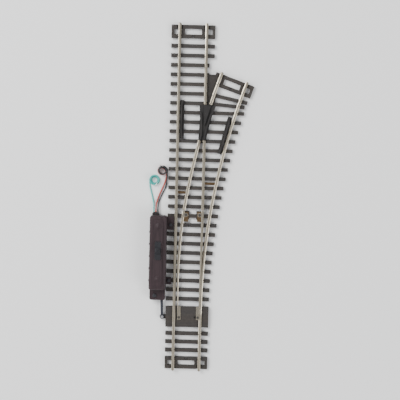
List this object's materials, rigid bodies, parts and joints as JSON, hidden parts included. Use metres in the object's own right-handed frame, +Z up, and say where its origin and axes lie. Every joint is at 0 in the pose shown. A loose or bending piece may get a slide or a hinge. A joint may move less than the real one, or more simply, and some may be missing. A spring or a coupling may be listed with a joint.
{
  "type": "model turnout switch",
  "caption": "Right-hand model railway turnout with moving points, plastic frog, guard rails, side-mounted solenoid switch machine and wire leads.",
  "frame": {"origin": "middle of the gauge at the points end of the straight route, at the level of the ties' undersides", "axes": "+Y along the straight route towards the frog end, +X towards the diverging route, +Z up"},
  "size_m": [0.0675, 0.2286, 0.0133],
  "materials": {
    "tie_plastic": "satin moulded",
    "rail_metal": "drawn nickel silver",
    "frog_plastic": "moulded",
    "guard_plastic": "moulded",
    "bronze": "stamped",
    "rivet_steel": "blackened",
    "pin_steel": "turned",
    "housing_plastic": "fine texture",
    "base_plastic": "moulded",
    "bobbin_nylon": "moulded nylon",
    "winding_copper": "enamelled copper wire",
    "plunger_steel": "ground",
    "knob_plastic": "moulded",
    "slide_nylon": "moulded nylon",
    "throwbar_plastic": "moulded",
    "arm_plastic": "moulded",
    "screw_steel": "blackened",
    "lug_brass": "tinned",
    "wire_green": "insulation",
    "wire_red": "insulation",
    "wire_black": "insulation",
    "tinned_copper": "tinned"
  },
  "bodies": {
    "track_and_machine": {"tie_strip": "tie_plastic", "stock_rail_straight": "rail_metal", "stock_rail_curved": "rail_metal", "closure_rail_straight": "rail_metal", "closure_rail_curved": "rail_metal", "frog": "frog_plastic", "frog_rail_straight": "rail_metal", "frog_rail_diverging": "rail_metal", "guard_rail_left": "guard_plastic", "guard_rail_right": "guard_plastic", "heel_plate_left": "bronze", "heel_plate_right": "bronze", "heel_rivet_left": "rivet_steel", "heel_rivet_right": "rivet_steel", "feeder_strip_left": "bronze", "feeder_strip_right": "bronze", "machine_base_plate": "base_plastic", "machine_housing": "housing_plastic", "coil_bobbin_near": "bobbin_nylon", "coil_bobbin_far": "bobbin_nylon", "coil_winding_near": "winding_copper", "coil_winding_far": "winding_copper", "arm_pivot_pin": "pin_steel", "mounting_screws": "screw_steel", "housing_screws": "screw_steel", "solder_lugs": "lug_brass", "lead_comb": "base_plastic", "lead_green": "wire_green", "lead_red": "wire_red", "lead_black": "wire_black", "lead_coil_green": "wire_green", "lead_coil_red": "wire_red", "lead_coil_black": "wire_black", "lead_tip_green": "tinned_copper", "lead_tip_red": "tinned_copper", "lead_tip_black": "tinned_copper"},
    "machine_drive": {"plunger": "plunger_steel", "drive_pin": "pin_steel", "throw_knob": "knob_plastic", "drive_slide": "slide_nylon"},
    "arm": {"throw_arm": "arm_plastic", "arm_tail_pin": "pin_steel"},
    "throwbar": {"throwbar": "throwbar_plastic", "point_pins": "rivet_steel", "arm_pin": "pin_steel"},
    "left_point": {"point_rail_curved": "rail_metal"},
    "right_point": {"point_rail_straight": "rail_metal"}
  },
  "joints": [
    {"name": "machine_throw", "type": "slide", "parent": "track_and_machine", "child": "machine_drive", "axis": [0, 1, 0], "range_m": [0, 0.005]},
    {"name": "arm_swing", "type": "hinge", "parent": "track_and_machine", "child": "arm", "pos_m": [-0.0174, 0.0572, 0.0023], "axis": [0, 0, 1], "range_deg": [-4.86, 0]},
    {"name": "throwbar_slide", "type": "slide", "parent": "track_and_machine", "child": "throwbar", "axis": [1, 0, 0], "range_m": [-0.00181, 0]},
    {"name": "left_point_swing", "type": "hinge", "parent": "track_and_machine", "child": "left_point", "pos_m": [-0.00214, 0.104, 0.0028], "axis": [0, 0, 1], "range_deg": [-1.52, 0]},
    {"name": "right_point_swing", "type": "hinge", "parent": "track_and_machine", "child": "right_point", "pos_m": [0.00683, 0.104, 0.0028], "axis": [0, 0, 1], "range_deg": [-1.52, 0]}
  ],
  "couplings": [
    {"joint": "arm_swing", "follows": "machine_throw", "rad_per_m": -16.901},
    {"joint": "throwbar_slide", "follows": "machine_throw", "ratio": -0.36},
    {"joint": "left_point_swing", "follows": "machine_throw", "rad_per_m": -5.2863},
    {"joint": "right_point_swing", "follows": "machine_throw", "rad_per_m": -5.2863}
  ]
}
